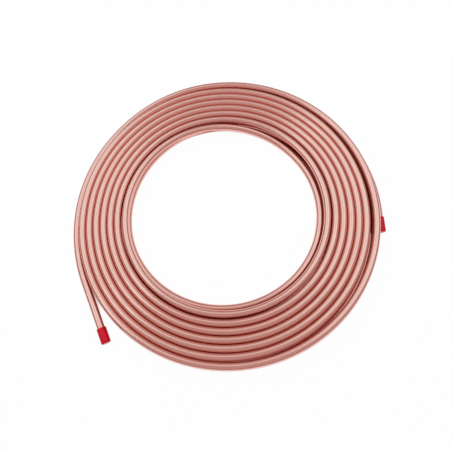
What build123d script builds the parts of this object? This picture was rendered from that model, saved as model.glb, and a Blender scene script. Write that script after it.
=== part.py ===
"""Copper tube coil: one soft copper tube wound in two flat layers, with a plastic cap pushed on each end.

Millimetres, +Z up, the coil lies flat on Z = 0 with the eye on the Z axis.
+X is the right of the coil and +Y its far side. Seen from above the tube runs clockwise: inwards through
the upper layer, down a step at the innermost turn, then outwards through the lower layer.
"""

import os
from math import asin, atan, cos, degrees, radians, sin, tan

from build123d import *

# Tube stock
tube_od = 9.525
tube_wall = 0.813

# Winding
turns = 8
turn_gap = 0.2
layer_gap = 0.4
inner_crossing = 134.3

# Where the upper layer is loose: inside the innermost turn, and before the outermost one on the right.
# On the left the outermost turn sinks beside its neighbour, which it then tucks under.
inner_slack = 1.0
outer_slack = 2.9
outer_tuck = 1.0
outer_sag = 4.8
sag_start = 20.0
sag_turn = 60.0
drawn_in_radius = 195.0

# Step between the layers, a slightly oval turn: radius, degrees turned, and whether the tube drops there
step_turn = [
    (129.3, 55.0, False),
    (132.7, 90.0, True),
    (127.1, 80.0, False),
    (133.1, 90.0, False),
    (126.6, 45.0, False),
]

# Lower layer: opens on the far side of every turn, and its last half turn springs out
lower_crossing = 132.3
lower_opening = 10.8
lower_end_crossing = 206.2

# Upper end: leaves the round past the left and runs straight into its cap
upper_tail_radius = 215.0
upper_tail_turn = 30.0
upper_tail_length = 63.6

# Lower end: rises before the right, so that its thicker cap lies on the floor
lower_tail_turn = 4.5
lower_tail_length = 12.5
lift_turn = 40.0

# Push-on caps
cap_wall = 0.95
cap_length = 20.0
cap_end = 1.5
cap_round = 1.8
cap_lip_round = 0.3
cap_clearance = 0.15
cap_end_gap = 0.3

tube_radius = tube_od / 2
bore_radius = tube_radius - tube_wall
pitch = tube_od + turn_gap
lower_z = tube_radius
upper_z = lower_z + tube_od + layer_gap
cap_bore_radius = tube_radius + cap_clearance
cap_radius = cap_bore_radius + cap_wall
cap_depth = cap_length - cap_end
insert_length = cap_depth - cap_end_gap
up = Vector(0, 0, 1)

# Distance of the tube's centre from the eye's axis on the left and on the right, innermost turn first
upper_left = [inner_crossing + turn * pitch for turn in range(turns)]
upper_right = [inner_crossing + (turn + 0.5) * pitch for turn in range(turns - 1)]
upper_left[0] -= inner_slack
upper_right[0] -= inner_slack
upper_left[-1] -= outer_tuck
upper_right[-1] += outer_slack
lower_left = [lower_crossing + turn * pitch for turn in range(turns - 1)]
lower_right = [distance + lower_opening for distance in lower_left]
lower_right[-1] = lower_end_crossing

# The tube's run, bend by bend: radius, degrees turned seen from above, and drop in height.
# The outermost turn comes first: it climbs back to its layer, and is drawn in again on the near side.
outer_radius = (upper_left[-1] + upper_right[-1]) / 2
drawn_out_radius = upper_right[-1] + upper_left[-2] - drawn_in_radius
run = [
    (upper_tail_radius, upper_tail_turn, 0),
    (outer_radius, sag_start, 0),
    (outer_radius, sag_turn, -outer_sag),
    (outer_radius, 180 - sag_start - sag_turn, 0),
    (drawn_in_radius, 60, 0),
    (drawn_out_radius, 60, 0),
    (drawn_in_radius, 60, 0),
]
for turn in range(turns - 2, 0, -1):
    run.append(((upper_left[turn] + upper_right[turn - 1]) / 2, 180, 0))
    run.append(((upper_right[turn - 1] + upper_left[turn - 1]) / 2, 180, 0))
for radius, turned, drops in step_turn:
    run.append((radius, turned, upper_z - lower_z if drops else 0))
for turn in range(turns - 2):
    run.append(((lower_left[turn] + lower_right[turn]) / 2, 180, 0))
    run.append(((lower_right[turn] + lower_left[turn + 1]) / 2, 180, 0))
end_radius = (lower_left[-1] + lower_right[-1]) / 2
run.append((end_radius, 180 - lift_turn - lower_tail_turn, 0))
run.append((end_radius, lift_turn, tube_radius - cap_radius))

# A bend that drops is two equal arcs: the first leans down, and the second levels the tube again
arcs = []
for radius, turned, drop in run:
    if not drop:
        arcs.append((radius, radians(turned), 0))
        continue
    half = radians(turned) / 2
    arc = half
    for _ in range(20):
        lean = asin(drop / 2 / radius / (1 - cos(arc)))
        arc = atan(tan(half) / cos(lean))
    arcs.append((radius, arc, lean))
    arcs.append((radius, arc, -atan(tan(lean) * cos(arc))))

# The run starts where the upper end leaves the round
start_angle = radians(180 + upper_tail_turn)
outward = Vector(cos(start_angle), sin(start_angle), 0)
round_centre = Vector(upper_tail_radius - upper_left[-1], 0, upper_z - outer_sag)
point = round_centre + outward * upper_tail_radius
heading = outward.cross(up)
upper_tail = Plane(origin=point, x_dir=outward, z_dir=heading * -1)
upper_mouth = upper_tail.offset(upper_tail_length)

with BuildPart() as copper_tube:
    # Every arc is the tube's section revolved about its own axis, which leans where the tube drops
    for radius, turned, lean in arcs:
        outward = up.cross(heading).normalized()
        over = heading.cross(outward)
        centre = point - (outward * cos(lean) + over * sin(lean)) * radius
        axis = Axis(centre, outward * sin(lean) - over * cos(lean))
        with BuildSketch(Plane(origin=point, x_dir=outward, z_dir=heading)):
            Circle(tube_radius)
            Circle(bore_radius, mode=Mode.SUBTRACT)
        revolve(axis=axis, revolution_arc=degrees(turned))
        point = centre + (point - centre).rotate(axis, degrees(turned))
        heading = heading.rotate(axis, degrees(turned))

    # Both ends run straight into their caps
    lower_tail = Plane(origin=point, x_dir=up.cross(heading), z_dir=heading)
    lower_mouth = lower_tail.offset(lower_tail_length)
    for tail, tail_length in ((upper_tail, upper_tail_length), (lower_tail, lower_tail_length)):
        with BuildSketch(tail):
            Circle(tube_radius)
            Circle(bore_radius, mode=Mode.SUBTRACT)
        extrude(amount=tail_length + insert_length)
copper_tube.part.label = "copper_tube"

# Each cap is a moulded cup with a rounded closed end and a softened lip
caps = []
for node, mouth in (("upper_end_cap", upper_mouth), ("lower_end_cap", lower_mouth)):
    along = Axis(mouth.origin, mouth.z_dir)
    with BuildPart() as cap:
        with BuildSketch(mouth):
            Circle(cap_radius)
        extrude(amount=cap_length)
        fillet(cap.edges().filter_by(GeomType.CIRCLE).sort_by(along)[-1], cap_round)
        fillet(cap.edges().filter_by(GeomType.CIRCLE).sort_by(along)[0], cap_lip_round)
        with BuildSketch(mouth):
            Circle(cap_bore_radius)
        extrude(amount=cap_depth, mode=Mode.SUBTRACT)
    cap.part.label = node
    caps.append(cap)

os.makedirs("parts", exist_ok=True)
export_step(copper_tube.part, "parts/copper_tube.step")
for cap in caps:
    export_step(cap.part, f"parts/{cap.part.label}.step")
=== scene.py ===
"""Copper tube coil: one soft copper tube wound in two flat layers, with a red plastic cap on each end.

Metres, +Z up, the coil lies flat on the floor at Z = 0 with its eye on the Z axis.
Turns of the bends and directions of the lamps are in degrees.
"""

from math import asin, atan, atan2, cos, degrees, pi, radians, sin, tan, tau

import bmesh
import bpy
from mathutils import Matrix, Quaternion, Vector


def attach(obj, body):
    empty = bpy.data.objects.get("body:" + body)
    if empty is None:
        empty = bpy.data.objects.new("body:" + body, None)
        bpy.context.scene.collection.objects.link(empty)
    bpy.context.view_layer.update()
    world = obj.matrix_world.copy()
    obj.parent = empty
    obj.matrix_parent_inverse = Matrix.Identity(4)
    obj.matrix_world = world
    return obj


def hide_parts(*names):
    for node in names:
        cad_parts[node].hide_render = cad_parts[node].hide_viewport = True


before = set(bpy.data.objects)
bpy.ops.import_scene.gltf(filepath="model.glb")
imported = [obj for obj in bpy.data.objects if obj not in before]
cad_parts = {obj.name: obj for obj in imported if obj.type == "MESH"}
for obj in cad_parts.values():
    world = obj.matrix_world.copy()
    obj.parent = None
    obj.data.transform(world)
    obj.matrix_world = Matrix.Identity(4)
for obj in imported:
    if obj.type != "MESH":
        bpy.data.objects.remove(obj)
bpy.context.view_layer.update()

# Tube stock
tube_od = 0.009525
tube_wall = 0.000813

# Upper layer, as the solids have it
turns = 8
turn_gap = 0.0002
layer_gap = 0.0004
inner_crossing = 0.1343
inner_slack = 0.001
outer_slack = 0.0029
outer_tuck = 0.001
outer_sag = 0.0048
sag_start = 20.0
sag_turn = 60.0
drawn_in_radius = 0.195

# Step between the layers: radius, degrees turned, and whether the tube drops there
step_turn = (
    (0.1293, 55.0, False),
    (0.1327, 90.0, True),
    (0.1271, 80.0, False),
    (0.1331, 90.0, False),
    (0.1266, 45.0, False),
)

# Lower layer
lower_crossing = 0.1323
lower_opening = 0.0108
lower_end_crossing = 0.2062

# Ends of the tube
upper_tail_radius = 0.215
upper_tail_turn = 30.0
upper_tail_length = 0.0636
lower_tail_turn = 4.5
lower_tail_length = 0.0125
lift_turn = 40.0

# Push-on caps
cap_wall = 0.00095
cap_length = 0.020
cap_end = 0.0015
cap_round = 0.0018
cap_lip_round = 0.0003
cap_clearance = 0.00015
cap_end_gap = 0.0003

# Fineness of the meshes
tube_sides = 28
bore_sides = 14
degrees_per_ring = 3.0
fewest_rings = 2
cap_sides = 64
cap_round_steps = 6
cap_lip_steps = 3
weld = 1e-6

# Copper: the scale of each pattern along the tube and across it, and what the patterns change
line_scale = (5.0, 420.0, 420.0)
tarnish_scale = (7.0, 70.0, 70.0)
mark_scale = (60.0, 150.0, 150.0)
mark_detail = 3.0
bright_copper = (0.85, 0.43, 0.37, 1.0)
dull_copper = (0.80, 0.35, 0.29, 1.0)
dulled_by_tarnish = 0.6
dulled_by_lines = 0.25
copper_roughness = 0.13
roughened_by_marks = 0.10
roughened_by_lines = 0.06
line_depth = 0.0002
line_strength = 0.05

# Red plastic
flow_scale = (90.0, 90.0, 90.0)
clear_red = (0.84, 0.0, 0.016, 1.0)
deep_red = (0.76, 0.0, 0.010, 1.0)
cap_roughness = 0.14
roughened_by_flow = 0.06
cap_specular = 0.2

# Camera, at the photograph's place
photo_pixels = 452
focal_pixels = 352.2
sensor_width = 36.0
nearest_seen = 0.01
camera_place = Vector((0.0480, -0.15956, 0.4581))
camera_target = Vector((0.00614, -0.02016, 0.010))
camera_roll = -0.2283

# Floor, white where it is open. Where the coil covers it, dark red shade is painted on it, and a faint
# painted red glow stands in for copper reflected there
floor_reach = 4.0
cover_reach = 0.03
cover_samples = 32
covered_openness = (0.1, 0.3)
overhung_openness = (0.4, 0.7)
ring_centre = (0.003, -0.002, 0.0)
ring_stretch = (1.0, 1.03, 1.0)
ring_radius = 0.172
ring_half_width = (0.032, 0.034)
white_floor = (0.9, 0.9, 0.9, 1.0)
# Painted dark red shade for the floor under the coil
painted_shade_floor = (0.13, 0.035, 0.025, 1.0)
white_glow = (1.0, 1.0, 1.0, 1.0)
# Painted reflection: a faint red glow under the coil, for copper reflected in the slits
painted_copper_glow = (0.9, 0.05, 0.02, 1.0)
painted_glow_share = 0.04
open_glow_share = 0.93

# Sky, which darkens towards the floor
sky_colour = (1.0, 0.92, 0.93, 1.0)
sky_heights = (0.10, 0.40)
sky_strengths = (0.06, 0.60)

# Lamps: name, direction from the right and from the floor, width, brightness
lamp_distance = 1.5
lamp_colour = (0.46, 0.94, 1.0)
lamps = (
    ("far_left_softbox", 150, 54, 1.4, 0.95),
    ("far_right_softbox", 40, 58, 1.4, 1.0),
    ("left_lamp", 200, 53, 0.35, 2.2),
)

half_turn = 180.0
lean_rounds = 20
tube_radius = tube_od / 2
bore_radius = tube_radius - tube_wall
pitch = tube_od + turn_gap
lower_z = tube_radius
upper_z = lower_z + tube_od + layer_gap
cap_bore_radius = tube_radius + cap_clearance
cap_radius = cap_bore_radius + cap_wall
cap_depth = cap_length - cap_end
insert_length = cap_depth - cap_end_gap
up = Vector((0, 0, 1))


def winding():
    """Where the outermost turn crosses the left, and the bends in order: radius, degrees turned, drop."""
    upper_left = [inner_crossing + turn * pitch for turn in range(turns)]
    upper_right = [inner_crossing + (turn + 0.5) * pitch for turn in range(turns - 1)]
    upper_left[0] -= inner_slack
    upper_right[0] -= inner_slack
    upper_left[-1] -= outer_tuck
    upper_right[-1] += outer_slack
    lower_left = [lower_crossing + turn * pitch for turn in range(turns - 1)]
    lower_right = [distance + lower_opening for distance in lower_left]
    lower_right[-1] = lower_end_crossing

    # The outermost turn comes first: it climbs back to its layer, and is drawn in on the near side
    outer_radius = (upper_left[-1] + upper_right[-1]) / 2
    drawn_out_radius = upper_right[-1] + upper_left[-2] - drawn_in_radius
    bends = [
        (upper_tail_radius, upper_tail_turn, 0),
        (outer_radius, sag_start, 0),
        (outer_radius, sag_turn, -outer_sag),
        (outer_radius, half_turn - sag_start - sag_turn, 0),
        (drawn_in_radius, half_turn / 3, 0),
        (drawn_out_radius, half_turn / 3, 0),
        (drawn_in_radius, half_turn / 3, 0),
    ]
    for turn in range(turns - 2, 0, -1):
        bends.append(((upper_left[turn] + upper_right[turn - 1]) / 2, half_turn, 0))
        bends.append(((upper_right[turn - 1] + upper_left[turn - 1]) / 2, half_turn, 0))
    for radius, turned, drops in step_turn:
        bends.append((radius, turned, upper_z - lower_z if drops else 0))
    for turn in range(turns - 2):
        bends.append(((lower_left[turn] + lower_right[turn]) / 2, half_turn, 0))
        bends.append(((lower_right[turn] + lower_left[turn + 1]) / 2, half_turn, 0))

    # The lower end rises before the right, so that its thicker cap lies on the floor
    end_radius = (lower_left[-1] + lower_right[-1]) / 2
    bends.append((end_radius, half_turn - lift_turn - lower_tail_turn, 0))
    bends.append((end_radius, lift_turn, tube_radius - cap_radius))
    return upper_left[-1], bends


def arcs_of(radius, turned, drop):
    """A bend's arcs, each an angle and a lean. One that drops leans down first, then levels the tube."""
    if not drop:
        return [(radians(turned), 0)]
    half = radians(turned) / 2
    arc = half
    for _ in range(lean_rounds):
        lean = asin(drop / 2 / radius / (1 - cos(arc)))
        arc = atan(tan(half) / cos(lean))
    return [(arc, lean), (arc, -atan(tan(lean) * cos(arc)))]


def across(point, heading):
    """A section's place and axes as a matrix: outward, over, and along the tube."""
    outward = up.cross(heading).normalized()
    over = heading.cross(outward)
    return Matrix.Translation(point) @ Matrix((outward, over, heading)).transposed().to_4x4()


class Tube:
    """A tube that grows from its first end, a bend or a straight run at a time."""

    def __init__(self, point, heading):
        self.mesh = bmesh.new()
        self.section = across(point, heading)
        self.length = 0.0

    @property
    def point(self):
        return self.section.to_translation()

    @property
    def heading(self):
        return self.section.col[2].to_3d()

    def rings(self):
        """The outer and the inner ring where the tube ends now. Each keeps its place in the straight tube."""
        part = bmesh.new()
        straight = part.verts.layers.float_vector.new("straight")
        for sides, radius in ((tube_sides, tube_radius), (bore_sides, bore_radius)):
            for vert in bmesh.ops.create_circle(part, segments=sides, radius=radius)["verts"]:
                vert[straight] = (self.length, vert.co.x, vert.co.y)
        bmesh.ops.transform(part, matrix=self.section, verts=part.verts[:])
        return part, straight

    def join(self, part, distance, movement):
        """Adds a finished stretch and moves the end on."""
        stretch = bpy.data.meshes.new("stretch")
        part.to_mesh(stretch)
        part.free()
        self.mesh.from_mesh(stretch)
        bpy.data.meshes.remove(stretch)
        self.length += distance
        self.section = movement @ self.section

    def run(self, distance):
        """A straight run."""
        part, straight = self.rings()
        made = bmesh.ops.extrude_edge_only(part, edges=part.edges[:])["geom"]
        last = [item for item in made if isinstance(item, bmesh.types.BMVert)]
        bmesh.ops.translate(part, vec=self.heading * distance, verts=last)
        for vert in last:
            vert[straight].x += distance
        self.join(part, distance, Matrix.Translation(self.heading * distance))

    def bend(self, centre, axis, turned, steps):
        """A bend about an axis through a point, by an angle in radians."""
        part, straight = self.rings()
        arm = self.point - centre
        rings = part.verts[:] + part.edges[:]
        bmesh.ops.spin(part, geom=rings, cent=centre, axis=axis, angle=turned, steps=steps)
        for vert in part.verts:
            off = vert.co - centre
            angle = atan2(off.dot(self.heading), off.dot(arm.normalized()))
            # The last ring of a half turn may read as minus a half turn
            if angle < -pi / 2:
                angle += tau
            vert[straight].x += angle * arm.length
        turn = Matrix.Rotation(turned, 4, axis)
        about = Matrix.Translation(centre) @ turn @ Matrix.Translation(-centre)
        self.join(part, arm.length * turned, about)

    def finish(self):
        """Welds the stretches together and closes the wall at both ends."""
        bmesh.ops.remove_doubles(self.mesh, verts=self.mesh.verts[:], dist=weld)
        for face in self.mesh.faces:
            face.smooth = True
        ends = [edge for edge in self.mesh.edges if edge.is_boundary]
        here = [edge for edge in ends if (edge.verts[0].co - self.point).length < tube_od]
        there = [edge for edge in ends if edge not in here]
        for rims in (here, there):
            bmesh.ops.bridge_loops(self.mesh, edges=rims)
        for edge in ends:
            edge.smooth = False


def wind_tube():
    """The whole tube's mesh, and the places of the two cap mouths."""
    outermost_left, bends = winding()
    start_angle = radians(half_turn + upper_tail_turn)
    outward = Vector((cos(start_angle), sin(start_angle), 0))
    round_centre = Vector((upper_tail_radius - outermost_left, 0, upper_z - outer_sag))
    leaves = round_centre + outward * upper_tail_radius
    heading = outward.cross(up)
    upper_mouth = across(leaves - heading * upper_tail_length, -heading)

    tube = Tube(leaves - heading * (upper_tail_length + insert_length), heading)
    tube.run(insert_length)
    tube.run(upper_tail_length)
    for radius, turned, drop in bends:
        for arc, lean in arcs_of(radius, turned, drop):
            outward = up.cross(tube.heading).normalized()
            over = tube.heading.cross(outward)
            centre = tube.point - (outward * cos(lean) + over * sin(lean)) * radius
            steps = max(fewest_rings, round(degrees(arc) / degrees_per_ring))
            tube.bend(centre, outward * sin(lean) - over * cos(lean), arc, steps)
    tube.run(lower_tail_length)
    lower_mouth = across(tube.point, tube.heading)
    tube.run(insert_length)
    tube.finish()
    return tube.mesh, upper_mouth, lower_mouth


def rim(mesh, height, radius):
    """The edges of one ring of a turned shape."""
    return [
        edge
        for edge in mesh.edges
        if all(abs(v.co.z - height) < weld and abs(v.co.xy.length - radius) < weld for v in edge.verts)
    ]


def mould_cap(mouth):
    """A cup with its bore, a rounded closed end and a softened lip."""
    mesh = bmesh.new()
    bmesh.ops.create_cone(
        mesh, cap_ends=True, segments=cap_sides, radius1=cap_radius, radius2=cap_radius, depth=cap_length
    )
    lip = min(mesh.faces, key=lambda face: face.calc_center_median().z)
    bmesh.ops.inset_region(mesh, faces=[lip], thickness=cap_wall)
    floor = bmesh.ops.extrude_face_region(mesh, geom=[lip])["geom"]
    floor_verts = [part for part in floor if isinstance(part, bmesh.types.BMVert)]
    bmesh.ops.translate(mesh, vec=(0, 0, cap_depth), verts=floor_verts)
    bmesh.ops.delete(mesh, geom=[lip], context="FACES_ONLY")
    closed_end = cap_length / 2
    open_end = -closed_end
    for end, rounding, segments in (
        (closed_end, cap_round, cap_round_steps),
        (open_end, cap_lip_round, cap_lip_steps),
    ):
        bmesh.ops.bevel(
            mesh,
            geom=rim(mesh, end, cap_radius),
            offset=rounding,
            affect="EDGES",
            segments=segments,
            profile=0.5,
            material=-1,
        )
    place = mouth @ Matrix.Translation((0, 0, closed_end))
    bmesh.ops.transform(mesh, matrix=place, verts=mesh.verts[:])
    for face in mesh.faces:
        face.smooth = len(face.verts) <= 4
    return mesh


def new_object(name, mesh, material, node):
    """Makes the object from a bmesh, stands it for its CAD node and puts it on the one body."""
    bmesh.ops.recalc_face_normals(mesh, faces=mesh.faces[:])
    data = bpy.data.meshes.new(name)
    mesh.to_mesh(data)
    mesh.free()
    data.materials.append(material)
    piece = bpy.data.objects.new(name, data)
    bpy.context.scene.collection.objects.link(piece)
    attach(piece, "root")
    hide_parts(node)


class Socket:
    """A shader socket that takes Python's operators."""

    def __init__(self, nodes, socket):
        self.nodes = nodes
        self.socket = socket

    def math(self, operation, *values):
        return self.nodes.add("ShaderNodeMath", {"operation": operation}, dict(enumerate(values)))

    def __add__(self, other):
        return self.math("ADD", self, other)

    __radd__ = __add__

    def __sub__(self, other):
        return self.math("SUBTRACT", self, other)

    def __rsub__(self, other):
        return self.math("SUBTRACT", other, self)

    def __mul__(self, other):
        return self.math("MULTIPLY", self, other)

    __rmul__ = __mul__

    def __abs__(self):
        return self.math("ABSOLUTE", self)

    def above(self, other):
        """The greater of the two."""
        return self.math("MAXIMUM", self, other)


class Nodes:
    """A material's or the world's node tree, emptied."""

    def __init__(self, owner):
        owner.use_nodes = True
        self.tree = owner.node_tree
        self.tree.nodes.clear()

    def add(self, kind, settings=None, sockets=None, out=0):
        """Makes one node: its settings first, then the values or links of its sockets."""
        node = self.tree.nodes.new(kind)
        for name, value in (settings or {}).items():
            setattr(node, name, value)
        for name, value in (sockets or {}).items():
            if isinstance(value, Socket):
                self.tree.links.new(value.socket, node.inputs[name])
            else:
                node.inputs[name].default_value = value
        return Socket(self, node.outputs[out]) if node.outputs else None

    def stretch(self, place, scale):
        return self.add("ShaderNodeMapping", None, {"Vector": place, "Scale": scale})

    def noise(self, place, scale, detail=2.0):
        """Noise with a scale of its own along each axis."""
        values = {"Vector": self.stretch(place, scale), "Scale": 1.0, "Detail": detail}
        return self.add("ShaderNodeTexNoise", {"noise_dimensions": "3D"}, values)

    def rise(self, value, limits, results=(0.0, 1.0)):
        """Goes from the first result to the second while the value goes from one limit to the other."""
        low, high = limits
        first, second = results
        values = {"Value": value, "From Min": low, "From Max": high, "To Min": first, "To Max": second}
        return self.add("ShaderNodeMapRange", None, values)

    def mix(self, factor, first, second):
        """Mixes two colours. Their sockets share their names with others, so they go by number."""
        values = {"Factor": factor, 6: first, 7: second}
        return self.add("ShaderNodeMix", {"data_type": "RGBA"}, values, out=2)


def copper_finish():
    """Bare drawn copper, with patterns that run along the tube."""
    material = bpy.data.materials.new("drawn_copper")
    nodes = Nodes(material)
    straight = nodes.add("ShaderNodeAttribute", {"attribute_name": "straight"}, out="Vector")

    # Faint lines that the drawing die leaves along the tube
    lines = nodes.noise(straight, line_scale)
    # Slow changes of tarnish along the tube, and small handling marks
    tarnish = nodes.noise(straight, tarnish_scale)
    marks = nodes.noise(straight, mark_scale, mark_detail)

    dullness = tarnish * dulled_by_tarnish + lines * dulled_by_lines
    relief = {"Strength": line_strength, "Distance": line_depth, "Height": lines}
    shader = nodes.add(
        "ShaderNodeBsdfPrincipled",
        None,
        {
            "Base Color": nodes.mix(dullness, bright_copper, dull_copper),
            "Metallic": 1.0,
            "Roughness": marks * roughened_by_marks + lines * roughened_by_lines + copper_roughness,
            "Normal": nodes.add("ShaderNodeBump", None, relief),
        },
    )
    nodes.add("ShaderNodeOutputMaterial", None, {"Surface": shader})
    return material


def cap_finish():
    """Red moulded plastic, slightly uneven where it flowed."""
    material = bpy.data.materials.new("red_cap_plastic")
    nodes = Nodes(material)
    place = nodes.add("ShaderNodeTexCoord", out="Object")
    flow = nodes.noise(place, flow_scale)
    shader = nodes.add(
        "ShaderNodeBsdfPrincipled",
        None,
        {
            "Base Color": nodes.mix(flow, clear_red, deep_red),
            "Roughness": flow * roughened_by_flow + cap_roughness,
            "Specular IOR Level": cap_specular,
        },
    )
    nodes.add("ShaderNodeOutputMaterial", None, {"Surface": shader})
    return material


def seen_as_background(nodes):
    """1 for rays that show the background itself, also in a mirror or through glass."""
    camera = nodes.add("ShaderNodeLightPath", out="Is Camera Ray")
    glossy = nodes.add("ShaderNodeLightPath", out="Is Glossy Ray")
    through = nodes.add("ShaderNodeLightPath", out="Is Transmission Ray")
    return camera.above(glossy).above(through)


def floor_finish():
    """White where the floor is open. Where the coil covers it, painted dark red shade and a faint painted red
    glow stand in for the shade and copper reflections in a slit between turns.
    """
    material = bpy.data.materials.new("white_floor")
    nodes = Nodes(material)

    # The oval ring that the turns stand on, where shade is painted
    place = nodes.add("ShaderNodeTexCoord", out="Object")
    shifted = nodes.add("ShaderNodeVectorMath", {"operation": "SUBTRACT"}, {0: place, 1: ring_centre})
    oval = nodes.stretch(shifted, ring_stretch)
    from_eye = nodes.add("ShaderNodeVectorMath", {"operation": "LENGTH"}, {0: oval}, out="Value")
    outside_ring = nodes.rise(abs(from_eye - ring_radius), ring_half_width)

    # In the ring shade is painted on all overhung floor, and elsewhere only on what is almost covered, as a
    # painted contact shadow
    reach = {"Distance": cover_reach}
    openness = nodes.add("ShaderNodeAmbientOcclusion", {"samples": cover_samples}, reach, out="AO")
    uncovered = nodes.rise(openness, covered_openness)
    not_overhung = nodes.rise(openness, overhung_openness)
    free_of_painted_shade = uncovered * outside_ring.above(not_overhung)

    # Painted shade: the covered floor's colour goes dark red
    colour = nodes.mix(free_of_painted_shade, painted_shade_floor, white_floor)
    matt = nodes.add("ShaderNodeBsdfDiffuse", None, {"Color": colour})
    # Painted reflection: the covered floor glows faintly red
    glow = nodes.mix(free_of_painted_shade, painted_copper_glow, white_glow)
    bright = nodes.add("ShaderNodeEmission", None, {"Color": glow, "Strength": 1.0})
    share = seen_as_background(nodes) * (free_of_painted_shade * open_glow_share + painted_glow_share)
    shader = nodes.add("ShaderNodeMixShader", None, {0: share, 1: matt, 2: bright})
    nodes.add("ShaderNodeOutputMaterial", None, {"Surface": shader})
    return material


def add_floor():
    mesh = bmesh.new()
    bmesh.ops.create_grid(mesh, x_segments=1, y_segments=1, size=floor_reach)
    data = bpy.data.meshes.new("floor")
    mesh.to_mesh(data)
    mesh.free()
    floor = bpy.data.objects.new("floor", data)
    bpy.context.scene.collection.objects.link(floor)
    data.materials.append(floor_finish())


def add_camera():
    data = bpy.data.cameras.new("camera")
    data.sensor_width = sensor_width
    data.lens = sensor_width * focal_pixels / photo_pixels
    data.clip_start = nearest_seen
    camera = bpy.data.objects.new("camera", data)
    camera.location = camera_place
    camera.rotation_mode = "QUATERNION"
    aim = (camera_target - camera_place).to_track_quat("-Z", "Y")
    camera.rotation_quaternion = aim @ Quaternion((0, 0, 1), camera_roll)
    bpy.context.scene.collection.objects.link(camera)
    bpy.context.scene.camera = camera


def add_world():
    world = bpy.data.worlds.new("studio")
    bpy.context.scene.world = world
    nodes = Nodes(world)
    direction = nodes.add("ShaderNodeTexCoord", out="Generated")
    height = nodes.add("ShaderNodeSeparateXYZ", None, {"Vector": direction}, out="Z")
    strength = nodes.rise(height, sky_heights, sky_strengths)
    sky = nodes.add("ShaderNodeBackground", None, {"Color": sky_colour, "Strength": strength})
    nodes.add("ShaderNodeOutputWorld", None, {"Surface": sky})


def add_lamp(name, around, above, width, brightness):
    """A round lamp aimed at the coil. Its power makes it as bright whatever its width."""
    turn = Matrix.Rotation(radians(around), 4, "Z") @ Matrix.Rotation(radians(-above), 4, "Y")
    data = bpy.data.lights.new(name, "AREA")
    data.shape = "DISK"
    data.size = width
    data.color = lamp_colour
    data.energy = brightness * pi * pi * width * width / 4
    lamp = bpy.data.objects.new(name, data)
    lamp.location = turn @ Vector((lamp_distance, 0, 0))
    lamp.rotation_mode = "QUATERNION"
    lamp.rotation_quaternion = (-lamp.location).to_track_quat("-Z", "Y")
    bpy.context.scene.collection.objects.link(lamp)


# The coil
tube_mesh, upper_mouth, lower_mouth = wind_tube()
copper = copper_finish()
red_plastic = cap_finish()
new_object("wound_copper_tube", tube_mesh, copper, "copper_tube")
new_object("upper_red_cap", mould_cap(upper_mouth), red_plastic, "upper_end_cap")
new_object("lower_red_cap", mould_cap(lower_mouth), red_plastic, "lower_end_cap")

# The studio
add_camera()
add_floor()
add_world()
for lamp in lamps:
    add_lamp(*lamp)
bpy.context.scene.view_settings.view_transform = "Standard"
